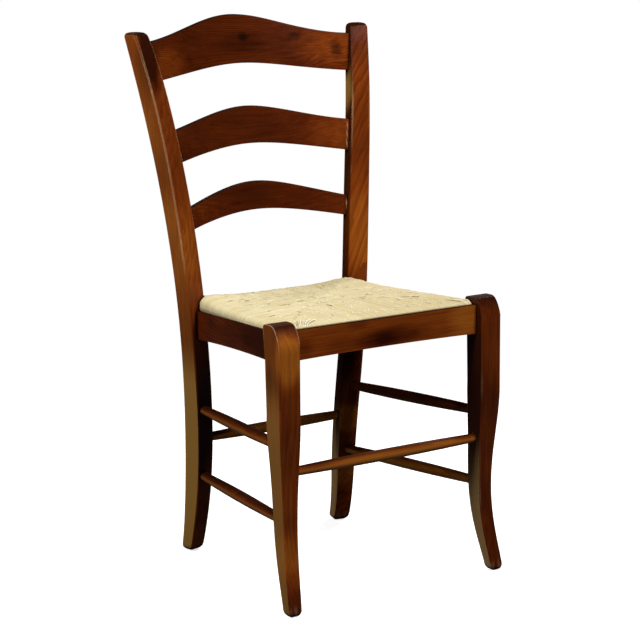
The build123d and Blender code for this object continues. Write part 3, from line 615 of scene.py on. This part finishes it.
def rounded_foot():
    """Draws in the lower end of a leg in steps, so that its foot is rounded."""
    group = bpy.data.node_groups.new("rounded_foot", "GeometryNodeTree")
    group.interface.new_socket("Geometry", in_out="INPUT", socket_type="NodeSocketGeometry")
    group.interface.new_socket("Lift", in_out="INPUT", socket_type="NodeSocketVector")
    group.interface.new_socket("Geometry", in_out="OUTPUT", socket_type="NodeSocketGeometry")
    start = group.nodes.new("NodeGroupInput")
    end = group.nodes.new("NodeGroupOutput")
    lift = start.outputs["Lift"]
    place = group.nodes.new("GeometryNodeInputPosition").outputs[0]
    height = add(group, "ShaderNodeSeparateXYZ", {0: place}).outputs["Z"]
    share = maths(group, "SUBTRACT", 1.0, maths(group, "DIVIDE", height, FOOT_ROUNDING), clamp=True)
    raised = add(group, "ShaderNodeVectorMath", {0: lift, "Scale": share}, operation="SCALE").outputs[0]
    shape = add(group, "GeometryNodeSetPosition", {"Geometry": start.outputs["Geometry"], "Offset": raised}).outputs[0]
    sole = maths(group, "LESS_THAN", height, FOOT_ROUNDING + SOLE_MARGIN)
    drop, width = 0.0, FOOT_HALF_WIDTH
    for step in range(1, FOOT_STEPS + 1):
        angle = math.pi / 2 * step / FOOT_STEPS
        new_drop, new_width = math.sin(angle), FOOT_HALF_WIDTH - FOOT_ROUNDING * (1 - math.cos(angle))
        down = add(group, "ShaderNodeVectorMath", {0: lift, "Scale": drop - new_drop}, operation="SCALE").outputs[0]
        inputs = {"Mesh": shape, "Selection": sole, "Offset": down, "Individual": False}
        lower = add(group, "GeometryNodeExtrudeMesh", inputs, mode="FACES")
        sole = lower.outputs["Top"]
        inputs = {"Geometry": lower.outputs["Mesh"], "Selection": sole, "Scale": new_width / width}
        shape = add(group, "GeometryNodeScaleElements", inputs, domain="FACE").outputs[0]
        drop, width = new_drop, new_width
    group.links.new(shape, end.inputs[0])
    return group


def foot_lift(mesh):
    """The way up the middle of a leg from its foot, as far as the foot is rounded."""
    middles = []
    for level in FOOT_LEVELS:
        shape = bmesh.new()
        shape.from_mesh(mesh)
        parts = shape.verts[:] + shape.edges[:] + shape.faces[:]
        cut = bmesh.ops.bisect_plane(shape, geom=parts, plane_co=(0, 0, level), plane_no=(0, 0, 1))["geom_cut"]
        points = [part.co.copy() for part in cut if isinstance(part, bmesh.types.BMVert)]
        shape.free()
        corners = [Vector(pick(point[axis] for point in points) for axis in range(3)) for pick in (min, max)]
        middles.append((corners[0] + corners[1]) / 2)
    way = middles[1] - middles[0]
    return way * (FOOT_ROUNDING / way.z)


JOINED_FACES = joined_faces()
ROUNDED_FOOT = rounded_foot()
GRAIN_AXIS = {"front_leg": "Z", "rear_post": "Z", "side": "Y", "seat_frame_left": "Y", "seat_frame_right": "Y"}


def grain_axis(node):
    """The axis that the grain of a wooden node runs along."""
    for words, axis in GRAIN_AXIS.items():
        if words in node:
            return axis
    return "X"


def finish_wood(node, seed):
    """The material of a wooden node, its rounded foot if it is a leg, and its eased edges."""
    obj = NODES[node]
    low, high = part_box(node)
    heights = (low.z, high.z)
    if "brace" in node or "seat_frame" in node:
        material = wood(node, grain_axis(node), seed, PLAIN, PLAIN_LOOK, heights, PLAIN_COAT)
    else:
        look = LOOKS.get(node, USUAL_LOOK)
        material = wood(node, grain_axis(node), seed, STAIN, look, heights, STAIN_COAT)
    obj.data.materials.clear()
    obj.data.materials.append(material)
    obj.modifiers.new("joined_faces", "NODES").node_group = JOINED_FACES
    if grain_axis(node) == "Z":
        foot = obj.modifiers.new("rounded_foot", "NODES")
        foot.node_group = ROUNDED_FOOT
        foot[ROUNDED_FOOT.interface.items_tree["Lift"].identifier] = foot_lift(obj.data)
    bevel = obj.modifiers.new("eased_edges", "BEVEL")
    bevel.width = EDGE_SOFTNESS
    bevel.segments = EDGE_SEGMENTS
    bevel.limit_method = "ANGLE"
    bevel.angle_limit = EDGE_ANGLE
    bevel.use_clamp_overlap = True
    weighted = obj.modifiers.new("even_shading", "WEIGHTED_NORMAL")
    weighted.keep_sharp = True


SOFT_NODES = ("rush_weave", "rush_packing")
for number, node in enumerate(sorted(NODES)):
    if node not in SOFT_NODES:
        finish_wood(node, number)


# Screws of the corner braces

def screw_head(place, outward):
    """Points and faces of a domed head with a cross recess, seen along its axis."""
    side = outward.orthogonal().normalized()
    other = outward.cross(side)
    points = []
    for ring in range(SCREW_RINGS + 1):
        radius = SCREW_RADIUS * ring / SCREW_RINGS
        for step in range(SCREW_STEPS):
            angle = math.tau * step / SCREW_STEPS
            across, up = radius * math.cos(angle), radius * math.sin(angle)
            height = SCREW_HEIGHT * math.cos(SCREW_DOME * ring / SCREW_RINGS)
            if min(abs(across), abs(up)) < RECESS_HALF_WIDTH and radius < RECESS_RADIUS:
                height -= RECESS_DEPTH
            points.append(place + side * across + other * up + outward * height)
    faces = []
    for ring in range(SCREW_RINGS):
        for step in range(SCREW_STEPS):
            near, far, beside = ring * SCREW_STEPS, (ring + 1) * SCREW_STEPS, (step + 1) % SCREW_STEPS
            faces.append((near + step, far + step, far + beside, near + beside))
    return points, faces


def brace_screws():
    """Two screws in the open face of each brace, which is the one nearest the middle of the seat."""
    points, faces = [], []
    for node in sorted(NODES):
        if "corner_brace" not in node:
            continue
        low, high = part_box(node)
        plan = {(round(v.co.x, 5), round(v.co.y, 5)) for v in NODES[node].data.vertices}
        ends = sorted(plan, key=lambda spot: math.hypot(*spot))[:2]
        first, second = [Vector((*spot, (low.z + high.z) / 2)) for spot in sorted(ends)]
        along = (second - first).normalized()
        outward = along.cross(Vector((0, 0, 1)))
        if outward.dot(first) > 0:
            outward = -outward
        for share in SCREW_PLACES:
            head, around_it = screw_head(first.lerp(second, share), outward)
            faces += [tuple(len(points) + corner for corner in face) for face in around_it]
            points += head
    mesh = bpy.data.meshes.new("brace_screws")
    mesh.from_pydata(points, [], faces)
    mesh.polygons.foreach_set("use_smooth", [True] * len(mesh.polygons))
    mesh.materials.append(dull_steel())
    obj = bpy.data.objects.new("brace_screws", mesh)
    bpy.context.scene.collection.objects.link(obj)
    return obj


def dull_steel():
    """Zinc-plated steel, dulled by grime."""
    material, tree, surface = new_material("dull_steel")
    place = add(tree, "ShaderNodeTexCoord").outputs["Object"]
    grime_and_gap_shade = speckle(tree, place, 700.0, 4.0)
    colour = ramp(tree, grime_and_gap_shade, ((0.35, (0.16, 0.14, 0.11, 1)), (0.65, (0.52, 0.50, 0.46, 1))))
    tree.links.new(colour, surface.inputs["Base Color"])
    rough = add(tree, "ShaderNodeMapRange", {"Value": grime_and_gap_shade, "To Min": 0.55, "To Max": 0.30})
    tree.links.new(rough.outputs["Result"], surface.inputs["Roughness"])
    surface.inputs["Metallic"].default_value = 1.0
    return material


screws = brace_screws()
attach(screws, FRAME_BODY)


# Woven seat

PAD_LOW, PAD_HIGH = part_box("rush_weave")
LEG_LOW, LEG_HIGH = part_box("front_leg_right")
FRONT_EDGE = PAD_LOW.y
REAR_EDGE = PAD_HIGH.y
FRONT_NOTCH_SIDE = LEG_LOW.x - LEG_CLEARANCE
FRONT_NOTCH_BACK = LEG_HIGH.y + LEG_CLEARANCE


def side_edge(y):
    """Distance from the middle out to the side edge."""
    return PAD_HALF_FRONT - (y - FRONT_EDGE) * PAD_TAPER


REAR_HALF = side_edge(REAR_EDGE)
CENTRE_BACK = (FRONT_EDGE + REAR_EDGE + REAR_HALF - PAD_HALF_FRONT) / 2


def front_mitre(x):
    """How far back the front panel reaches."""
    return min(CENTRE_BACK, FRONT_EDGE + PAD_HALF_FRONT - abs(x))


def rear_mitre(x):
    """How far forward the rear panel reaches."""
    return max(CENTRE_BACK, REAR_EDGE - REAR_HALF + abs(x))


def side_mitre(y):
    """Distance from the middle at which the side panels end."""
    if y < CENTRE_BACK:
        return max(0.0, FRONT_EDGE + PAD_HALF_FRONT - y)
    return max(0.0, y - REAR_EDGE + REAR_HALF)


def bed(y):
    """Height of the seat's underside."""
    return PAD_LOW.z + (REAR_EDGE - y) * SEAT_SLOPE


def crown(x, y):
    """Rise of the top over its edges: arched panels, with fuller corners at the back."""
    across = 1 - (x / side_edge(y)) ** 2
    along = 1 - ((2 * y - FRONT_EDGE - REAR_EDGE) / (REAR_EDGE - FRONT_EDGE)) ** 2
    corner = math.hypot(abs(x) - REAR_NOTCH_SIDE, y - REAR_NOTCH_BACK) / CORNER_SPREAD
    return PAD_CROWN * max(0.0, min(across, along)) + CORNER_HUMP * math.exp(-corner ** 2)


class TubeMesh:
    """Collects round strands into one mesh, with their length and girth as texture coordinates."""

    def __init__(self):
        self.points = []
        self.faces = []
        self.marks = []

    def add(self, path, radius, sides):
        lengths = [0.0]
        for before, after in zip(path, path[1:]):
            lengths.append(lengths[-1] + (after - before).length)
        base = len(self.points)
        side = None
        for step, point in enumerate(path):
            ahead = (path[min(step + 1, len(path) - 1)] - path[max(step - 1, 0)]).normalized()
            if side is None:
                side = ahead.orthogonal().normalized()
            side = (side - ahead * side.dot(ahead)).normalized()
            other = ahead.cross(side)
            for corner in range(sides):
                angle = math.tau * corner / sides
                self.points.append(point + (side * math.cos(angle) + other * math.sin(angle)) * radius)
        for step in range(len(path) - 1):
            for corner in range(sides):
                near, far = base + step * sides, base + (step + 1) * sides
                beside = (corner + 1) % sides
                self.faces.append((near + corner, near + beside, far + beside, far + corner))
                low, high = lengths[step], lengths[step + 1]
                left, right = corner / sides, (corner + 1) / sides
                self.marks += [(left, low), (right, low), (right, high), (left, high)]
        for start in (base, base + (len(path) - 1) * sides):
            ring = tuple(range(start, start + sides))
            self.faces.append(ring if start != base else ring[::-1])
            self.marks += [(0.0, 0.0)] * sides

    def build(self, name, material):
        mesh = bpy.data.meshes.new(name)
        mesh.from_pydata(self.points, [], self.faces)
        layer = mesh.uv_layers.new(name="strand")
        layer.data.foreach_set("uv", [value for mark in self.marks for value in mark])
        mesh.polygons.foreach_set("use_smooth", [True] * len(mesh.polygons))
        mesh.materials.append(material)
        obj = bpy.data.objects.new(name, mesh)
        bpy.context.scene.collection.objects.link(obj)
        return obj


def section_of_wrap(radius, reach):
    """Distances in from the edge and heights over the bed, from the mitre below to the mitre above."""
    top = PAD_EDGE_HEIGHT - radius
    rows = [(reach + inset, radius + rise) for inset, rise in LOWER_MITRE]
    step = reach - RUN_START
    while step > LOWER_RUN_END:
        rows.append((step, radius))
        step -= LOWER_RUN_STEP
    rows += [(radius + inset, radius + rise) for inset, rise in LOWER_EDGE]
    rows += [(radius + inset, top + rise) for inset, rise in UPPER_EDGE]
    step = radius + RUN_START
    while step < reach - UPPER_RUN_END:
        rows.append((step, top))
        step += STRAND_STEP
    rows += [(reach + inset, top - share * MITRE_DIP) for inset, share in UPPER_MITRE]
    return rows


def wrap(tubes, start, inward, reach):
    """One strand over an edge, from the mitre on the underside to the mitre on top."""
    radius = STRAND_RADIUS * CHANCE.uniform(*STRAND_GIRTHS)
    lift = CHANCE.uniform(-STRAND_LIFT, STRAND_LIFT)
    phase = CHANCE.uniform(0, 100)
    aside = Vector((-inward.y, inward.x, 0))
    path = []
    for inset, height in section_of_wrap(radius, reach):
        spot = start + inward * inset
        drift = noise.noise(Vector((inset * DRIFT_RATE, phase, 0))) * STRAND_DRIFT
        spot = spot + aside * drift
        upper = height > PAD_EDGE_HEIGHT / 2
        rise = crown(spot.x, spot.y) * min(1.0, inset / CROWN_START) + lift if upper else 0.0
        path.append(Vector((spot.x, spot.y, bed(spot.y) + height + rise)))
    tubes.add(path, radius, STRAND_SIDES)


def spread(low, high):
    """Even places between two limits, a strand apart."""
    count = round((high - low) / STRAND_PITCH)
    gap = (high - low) / count
    return [low + gap * (place + 0.5) for place in range(count)]


def woven_seat():
    """All strands of the front, rear and side panels."""
    tubes = TubeMesh()
    for x in spread(-FRONT_NOTCH_SIDE, FRONT_NOTCH_SIDE):
        wrap(tubes, Vector((x, FRONT_EDGE, 0)), Vector((0, 1, 0)), front_mitre(x) - FRONT_EDGE)
    for x in spread(-REAR_NOTCH_SIDE, REAR_NOTCH_SIDE):
        wrap(tubes, Vector((x, REAR_EDGE, 0)), Vector((0, -1, 0)), REAR_EDGE - rear_mitre(x))
    for y in spread(FRONT_NOTCH_BACK, REAR_NOTCH_BACK):
        for way in (1, -1):
            edge = side_edge(y)
            wrap(tubes, Vector((way * edge, y, 0)), Vector((-way, 0, 0)), edge - side_mitre(y))
    return tubes


# Tones of the rush, and the scale and the share of its fibres, patches, strands and specks
RUSH_TONES = ((0.30, RUSH_DARK), (0.50, RUSH_MIDDLE), (0.78, RUSH_LIGHT))
FIBRE_TONES = ((0.00, RUSH_SPECK), (0.10, RUSH_DARK), (0.40, RUSH_LIGHT), (0.70, RUSH_BLEACHED))
SPECK_TONES = ((0.69, (0, 0, 0, 1)), (0.77, (1, 1, 1, 1)))
SPECK_SCALE = 330.0
SPECK_SHARE = 0.8
FIBRE_STRETCH = 6.0
FIBRE_SCALE = 9.0
FIBRE_SHARE = 0.55
PATCH_SCALE = 26.0
PATCH_SHARE = 0.35
STRAND_SHARE = 0.22

# Shade to the right and to the front of the seat, as places along X and Y
SHADED_RIGHT = (-0.15, 0.15)
SHADED_FRONT = (-0.06, -0.20)
RIGHT_SHADE = 0.40
FRONT_SHADE = 0.30

# Painted shadow where the rush meets the rails, as heights over the bed and distances in from the front edge
GAP_SHADE_FRONT = (0.0205, 0.0192)
GAP_SHADE_FRONT_EDGE = (0.006, 0.002)
GAP_SHADE_SIDE = (0.0112, 0.0095)
SIDE_GAP_SHADE = 0.45
GAP_SHADE_SHARE = 0.8


def rush():
    """Twisted dry rush: each strand has its own tone, with fine fibres, a twist and a few dark specks."""
    material, tree, surface = new_material("rush")
    marks = add(tree, "ShaderNodeUVMap", uv_map="strand").outputs[0]
    girth, length = add(tree, "ShaderNodeSeparateXYZ", {0: marks}).outputs[:2]
    turned = plus_share(tree, girth, length, 1 / TWIST_LENGTH)
    helix = add(tree, "ShaderNodeCombineXYZ", {"X": turned, "Y": product(tree, length, FIBRE_STRETCH)}).outputs[0]
    fibres = speckle(tree, helix, FIBRE_SCALE, 4.0)
    place = add(tree, "ShaderNodeTexCoord").outputs["Object"]
    patches = speckle(tree, place, PATCH_SCALE, 3.0)
    own = add(tree, "ShaderNodeNewGeometry").outputs["Random Per Island"]
    tone = plus_share(tree, product(tree, fibres, FIBRE_SHARE), patches, PATCH_SHARE)
    tone = plus_share(tree, tone, own, STRAND_SHARE)
    colour = ramp(tree, tone, RUSH_TONES)
    speck = ramp(tree, speckle(tree, place, SPECK_SCALE, 2.0), SPECK_TONES)
    colour = mix(tree, product(tree, speck, SPECK_SHARE), colour, RUSH_SPECK)
    where = add(tree, "ShaderNodeSeparateXYZ", {0: place}).outputs
    shaded_right = product(tree, smooth_step(tree, where["X"], *SHADED_RIGHT), RIGHT_SHADE)
    shade = plus_share(tree, shaded_right, smooth_step(tree, where["Y"], *SHADED_FRONT), FRONT_SHADE)
    colour = mix(tree, shade, colour, RUSH_DARK)
    # Painted shadow low on the front and sides, where the rush meets the rails
    level = plus_share(tree, where["Z"], where["Y"], SEAT_SLOPE)
    over_bed = maths(tree, "SUBTRACT", level, PAD_LOW.z + REAR_EDGE * SEAT_SLOPE)
    front_edge = smooth_step(tree, where["Y"], *[FRONT_EDGE + inset for inset in GAP_SHADE_FRONT_EDGE])
    at_front = product(tree, smooth_step(tree, over_bed, *GAP_SHADE_FRONT), front_edge)
    at_side = product(tree, smooth_step(tree, over_bed, *GAP_SHADE_SIDE), SIDE_GAP_SHADE)
    grime_and_gap_shade = maths(tree, "MAXIMUM", at_side, at_front)
    colour = mix(tree, product(tree, grime_and_gap_shade, GAP_SHADE_SHARE), colour, RUSH_GAP_SHADE)
    tree.links.new(colour, surface.inputs["Base Color"])
    bump = add(tree, "ShaderNodeBump", {"Height": fibres, "Strength": 0.6, "Distance": 0.0009})
    tree.links.new(bump.outputs["Normal"], surface.inputs["Normal"])
    surface.inputs["Roughness"].default_value = 0.75
    surface.inputs["Specular IOR Level"].default_value = 0.2
    return material


RUSH = rush()
weave = woven_seat().build("woven_rush", RUSH)
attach(weave, SEAT_BODY)
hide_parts("rush_weave")


STUFFING_EDGE = 0.02
STUFFING_INSET = 0.0008
STUFFING_UNEVENNESS = 0.0006
STUFFING_SCALE = 60


def stuffing():
    """The packing between the layers of rush, with an uneven surface."""
    mesh = bpy.data.meshes.new("rush_stuffing")
    shape = bmesh.new()
    shape.from_mesh(NODES["rush_packing"].data)
    bmesh.ops.remove_doubles(shape, verts=shape.verts, dist=JOIN_DISTANCE)
    for _ in range(3):
        long_edges = [edge for edge in shape.edges if edge.calc_length() > STUFFING_EDGE]
        bmesh.ops.subdivide_edges(shape, edges=long_edges, cuts=2, use_grid_fill=True)
    bmesh.ops.triangulate(shape, faces=shape.faces)
    shape.normal_update()
    for point in shape.verts:
        unevenness = STUFFING_UNEVENNESS * noise.noise(point.co * STUFFING_SCALE)
        point.co -= point.normal * (STUFFING_INSET + unevenness)
    shape.to_mesh(mesh)
    shape.free()
    mesh.materials.clear()
    mesh.materials.append(RUSH)
    mesh.uv_layers.new(name="strand")
    obj = bpy.data.objects.new("rush_stuffing", mesh)
    bpy.context.scene.collection.objects.link(obj)
    return obj


def loose_strand(start, bend, end, radius, tubes):
    """A thin curved strand from a start to an end, drawn towards a point between them."""
    shares = [step / LOOSE_STEPS for step in range(LOOSE_STEPS + 1)]
    path = [start * (1 - s) ** 2 + bend * (2 * s * (1 - s)) + end * s ** 2 for s in shares]
    tubes.add(path, radius, LOOSE_SIDES)


def on_top(x, y, lift=0.0):
    """A point on the upper side of the weave."""
    return Vector((x, y, bed(y) + PAD_EDGE_HEIGHT + crown(x, y) + lift))


def stray_fibres():
    """Short ends that have come loose from the strands, and frayed strands beside the front legs."""
    tubes = TubeMesh()
    for _ in range(STRAY_FIBRES):
        y = CHANCE.uniform(FRONT_EDGE + STRAY_END_MARGIN, REAR_EDGE - STRAY_END_MARGIN)
        x = CHANCE.uniform(-1, 1) * (side_edge(y) - STRAY_SIDE_MARGIN)
        in_side_panel = front_mitre(x) < y < rear_mitre(x)
        heading = CHANCE.gauss(0.0 if in_side_panel else math.pi / 2, STRAY_TURN)
        reach = CHANCE.uniform(*STRAY_HALF_LENGTHS)
        step = Vector((math.cos(heading), math.sin(heading))) * reach
        bend = CHANCE.gauss(0, STRAY_BEND)
        start = on_top(x - step.x, y - step.y, STRAY_LIFTS[0])
        middle = on_top(x - bend * step.y, y + bend * step.x, STRAY_LIFTS[1])
        end = on_top(x + step.x, y + step.y, STRAY_LIFTS[2])
        loose_strand(start, middle, end, CHANCE.uniform(*STRAY_RADII), tubes)
    for way, count in FRAYED_STRANDS.items():
        for number in range(count):
            x = FRONT_NOTCH_SIDE - FRAYED_FIRST - FRAYED_PITCH * number
            turn_in = FRAYED_FAN * number + CHANCE.uniform(*FRAYED_TURNS)
            length = CHANCE.uniform(*FRAYED_LENGTHS)
            start, middle = [on_top(way * x, FRONT_EDGE + inset, lift) for inset, lift in (FRAYED_START, FRAYED_MIDDLE)]
            end = on_top(way * (x - turn_in), FRONT_EDGE + length, FRAYED_END_LIFT)
            loose_strand(start, middle, end, CHANCE.uniform(*FRAYED_RADII), tubes)
    return tubes


def fibre():
    """Single dry leaves of rush: most are bleached, and a few are brown."""
    material, tree, surface = new_material("rush_fibre")
    own = add(tree, "ShaderNodeNewGeometry").outputs["Random Per Island"]
    place = add(tree, "ShaderNodeTexCoord").outputs["Object"]
    patches = speckle(tree, place, 300.0, 2.0)
    tone = plus_share(tree, own, maths(tree, "SUBTRACT", patches, 0.5), 0.3)
    colour = ramp(tree, tone, FIBRE_TONES)
    tree.links.new(colour, surface.inputs["Base Color"])
    surface.inputs["Roughness"].default_value = 0.6
    return material


fibres = stray_fibres().build("stray_fibres", fibre())
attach(fibres, SEAT_BODY)
packing = stuffing()
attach(packing, SEAT_BODY)
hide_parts("rush_packing")


# Floor, light and camera

WHITE = (1, 1, 1, 1)
FLOOR_HALF = 15.0
FLOOR_FADE = (0.7, 1.5)
FLOOR_PAPER = (0.85, 0.85, 0.85, 1)
FLOOR_DIM = (0.06, 0.06, 0.06, 1)
FLOOR_GLOW = 0.70
AMBIENT = 0.025
LIGHT_AIM = (0, 0, 0.45)


def pale_floor():
    """White paper under the chair, which fades into the white background and lights the chair but little."""
    mesh = bpy.data.meshes.new("floor")
    corners = [(x * FLOOR_HALF, y * FLOOR_HALF, 0) for x, y in ((-1, -1), (1, -1), (1, 1), (-1, 1))]
    mesh.from_pydata(corners, [], [(0, 1, 2, 3)])
    obj = bpy.data.objects.new("floor", mesh)
    bpy.context.scene.collection.objects.link(obj)
    material, tree, surface = new_material("floor")
    tree.nodes.remove(surface)
    seen = add(tree, "ShaderNodeLightPath").outputs["Is Camera Ray"]
    paper = add(tree, "ShaderNodeBsdfDiffuse", {"Color": FLOOR_PAPER})
    glow = add(tree, "ShaderNodeEmission", {"Color": WHITE, "Strength": FLOOR_GLOW})
    bright = add(tree, "ShaderNodeAddShader", {0: paper.outputs[0], 1: glow.outputs[0]})
    white = add(tree, "ShaderNodeEmission", {"Color": WHITE, "Strength": 1.0})
    spot = add(tree, "ShaderNodeNewGeometry").outputs["Position"]
    distance = add(tree, "ShaderNodeVectorMath", {0: spot}, operation="LENGTH").outputs["Value"]
    far = smooth_step(tree, distance, *FLOOR_FADE)
    bright = add(tree, "ShaderNodeMixShader", {0: far, 1: bright.outputs[0], 2: white.outputs[0]})
    dim = add(tree, "ShaderNodeBsdfDiffuse", {"Color": FLOOR_DIM})
    look = add(tree, "ShaderNodeMixShader", {0: seen, 1: dim.outputs[0], 2: bright.outputs[0]})
    tree.links.new(look.outputs[0], tree.nodes["Material Output"].inputs["Surface"])
    mesh.materials.append(material)
    return obj


def studio_world():
    """A white background for the camera, and a faint light from all sides for the chair."""
    world = bpy.data.worlds.new("studio")
    world.use_nodes = True
    tree = world.node_tree
    tree.nodes.clear()
    ray = add(tree, "ShaderNodeLightPath")
    seen = maths(tree, "MAXIMUM", ray.outputs["Is Camera Ray"], ray.outputs["Is Transmission Ray"])
    ambient = add(tree, "ShaderNodeBackground", {"Color": WHITE, "Strength": AMBIENT})
    backdrop = add(tree, "ShaderNodeBackground", {"Color": WHITE, "Strength": 1.0})
    blend = add(tree, "ShaderNodeMixShader", {0: seen, 1: ambient.outputs[0], 2: backdrop.outputs[0]})
    add(tree, "ShaderNodeOutputWorld", {"Surface": blend.outputs[0]})
    return world


def area_light(name, place, size, power):
    """A soft light that points at the middle of the chair."""
    lamp = bpy.data.lights.new(name, "AREA")
    lamp.energy = power
    lamp.shape = "RECTANGLE"
    lamp.size, lamp.size_y = size
    obj = bpy.data.objects.new(name, lamp)
    obj.location = place
    obj.rotation_euler = (Vector(LIGHT_AIM) - Vector(place)).to_track_quat("-Z", "Y").to_euler()
    obj.visible_camera = False
    bpy.context.scene.collection.objects.link(obj)


def photo_camera():
    """The camera, where the photograph was taken from."""
    lens = bpy.data.cameras.new("photo_view")
    lens.sensor_width = SENSOR
    lens.lens = LENS
    lens.shift_x = LENS_SHIFT
    lens.clip_start, lens.clip_end = VIEW_RANGE
    camera = bpy.data.objects.new("photo_view", lens)
    bpy.context.scene.collection.objects.link(camera)
    back = Vector((math.sin(VIEW_AZIMUTH) * math.cos(VIEW_ELEVATION),
                   -math.cos(VIEW_AZIMUTH) * math.cos(VIEW_ELEVATION), math.sin(VIEW_ELEVATION)))
    level = Vector((math.cos(VIEW_AZIMUTH), math.sin(VIEW_AZIMUTH), 0))
    upright = back.cross(level)
    right = level * math.cos(VIEW_ROLL) + upright * math.sin(VIEW_ROLL)
    up = upright * math.cos(VIEW_ROLL) - level * math.sin(VIEW_ROLL)
    target = level * VIEW_SIDE + Vector((0, VIEW_BACK, VIEW_HEIGHT))
    turn = Matrix((right, up, back)).transposed().to_4x4()
    camera.matrix_world = Matrix.Translation(target + back * VIEW_DISTANCE) @ turn
    return camera


floor = pale_floor()
bpy.context.scene.world = studio_world()
area_light("front", (0.34, -1.74, 2.63), (1.0, 1.0), 58)
area_light("left", (-1.92, -0.13, 2.19), (1.2, 1.2), 54)
area_light("behind", (2.38, 1.26, 1.23), (0.7, 1.2), 60)
bpy.context.scene.camera = photo_camera()
bpy.context.scene.view_settings.view_transform = "Standard"
